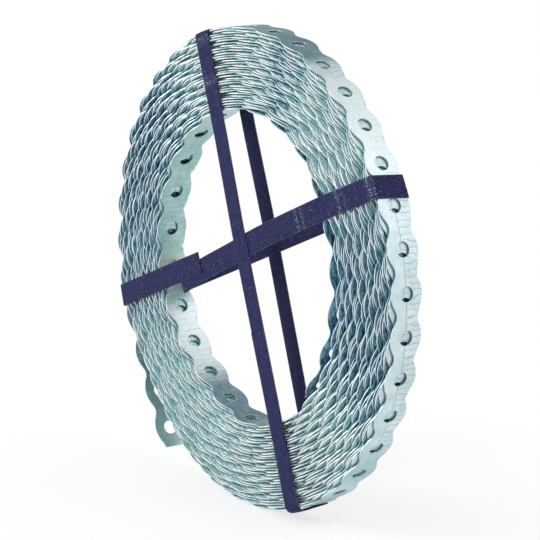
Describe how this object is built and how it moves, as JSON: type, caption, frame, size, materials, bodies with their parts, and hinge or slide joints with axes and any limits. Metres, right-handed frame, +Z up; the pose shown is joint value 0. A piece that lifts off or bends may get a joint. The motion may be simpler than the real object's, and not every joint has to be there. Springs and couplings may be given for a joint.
{
  "type": "perforated metal strap roll",
  "caption": "Wavy-edged perforated steel fixing band wound into a roll with both ends loose, held by two plastic straps crossed over its bore.",
  "frame": {"origin": "on the coil's axis, at the middle of the band's width", "axes": "+Z up as the roll stands on its rim, Y along the coil's axis with the front facing -Y, +X to the right seen from the front"},
  "size_m": [0.2324, 0.0197, 0.2324],
  "materials": {
    "galvanised_steel": "bright zinc, slightly blue-green, with fine rolling marks",
    "strap_plastic": "dark blue-black embossed polypropylene strapping"
  },
  "bodies": {
    "root": {"band_coil": "galvanised_steel", "cross_strap": "strap_plastic", "upright_strap": "strap_plastic"}
  },
  "joints": []
}
